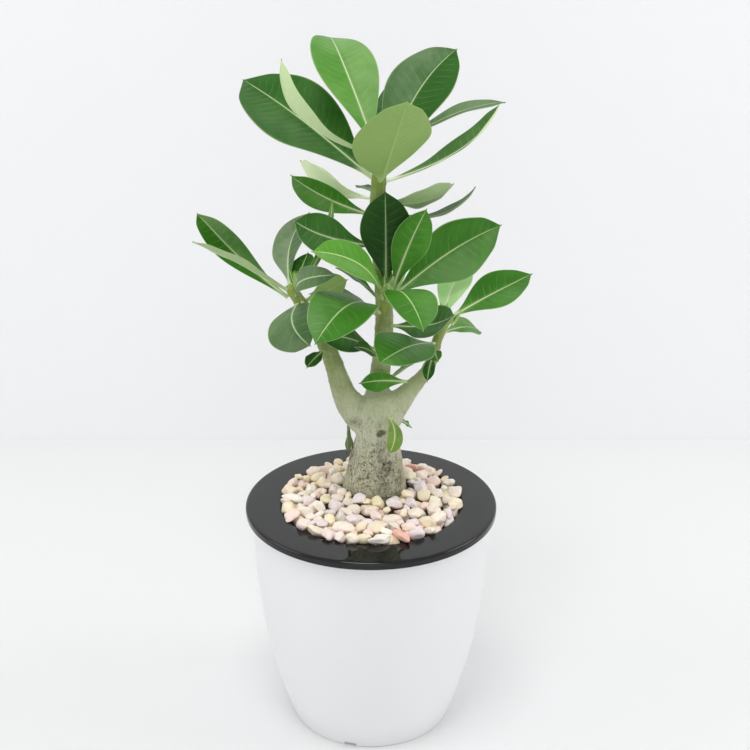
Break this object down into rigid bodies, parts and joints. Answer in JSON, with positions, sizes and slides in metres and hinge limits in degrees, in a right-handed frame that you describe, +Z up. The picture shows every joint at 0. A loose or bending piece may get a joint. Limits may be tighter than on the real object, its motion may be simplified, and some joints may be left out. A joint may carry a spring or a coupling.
{
  "type": "potted desert rose",
  "caption": "Potted desert rose: a swollen forked trunk with broad spoon-shaped leaves, set in pebbles in a liner pot with a wide brim that hangs in a round tapered outer pot.",
  "frame": {"origin": "middle of the outer pot's flat base, on the floor", "axes": "+Z up along the pot's axis, -Y towards the front where the plant shows its open side, +X to the right seen from the front"},
  "size_m": [0.2108, 0.1854, 0.4448],
  "materials": {
    "white_plastic": "satin white",
    "black_plastic": "glossy black",
    "soil": "dark, crumbly",
    "pebble": "tumbled stone in cream, pink and lavender",
    "bark": "grey-green living bark",
    "leaf_dark": "waxy dark green leaf",
    "leaf_bright": "waxy young green leaf"
  },
  "bodies": {
    "root": {"outer_pot": "white_plastic", "liner": "black_plastic", "soil": "soil", "pebbles": "pebble", "trunk": "bark", "leaf_crown_1": "leaf_dark", "leaf_crown_2": "leaf_dark", "leaf_crown_3": "leaf_dark", "leaf_crown_4": "leaf_dark", "leaf_crown_5": "leaf_dark", "leaf_crown_6": "leaf_dark", "leaf_crown_7": "leaf_dark", "leaf_crown_8": "leaf_dark", "leaf_tier_1": "leaf_dark", "leaf_tier_2": "leaf_dark", "leaf_tier_3": "leaf_dark", "leaf_tier_4": "leaf_dark", "leaf_tier_5": "leaf_dark", "leaf_tier_6": "leaf_dark", "leaf_centre_1": "leaf_dark", "leaf_centre_2": "leaf_bright", "leaf_centre_3": "leaf_bright", "leaf_centre_4": "leaf_dark", "leaf_centre_5": "leaf_dark", "leaf_centre_6": "leaf_dark", "leaf_right_1": "leaf_dark", "leaf_right_2": "leaf_dark", "leaf_right_3": "leaf_dark", "leaf_right_4": "leaf_dark", "leaf_right_5": "leaf_dark", "leaf_right_6": "leaf_dark", "leaf_right_7": "leaf_dark", "leaf_left_1": "leaf_dark", "leaf_left_2": "leaf_dark", "leaf_left_3": "leaf_dark", "leaf_left_4": "leaf_dark", "leaf_left_5": "leaf_dark", "leaf_left_6": "leaf_dark", "leaf_left_7": "leaf_dark", "leaf_left_8": "leaf_dark", "leaf_left_9": "leaf_dark", "leaf_left_10": "leaf_dark", "leaf_low_1": "leaf_dark", "leaf_low_2": "leaf_dark", "leaf_low_3": "leaf_dark", "leaf_low_4": "leaf_dark", "leaf_low_5": "leaf_bright", "leaf_low_6": "leaf_dark", "leaf_trunk_1": "leaf_bright", "leaf_trunk_2": "leaf_dark", "leaf_trunk_3": "leaf_dark"}
  },
  "joints": []
}
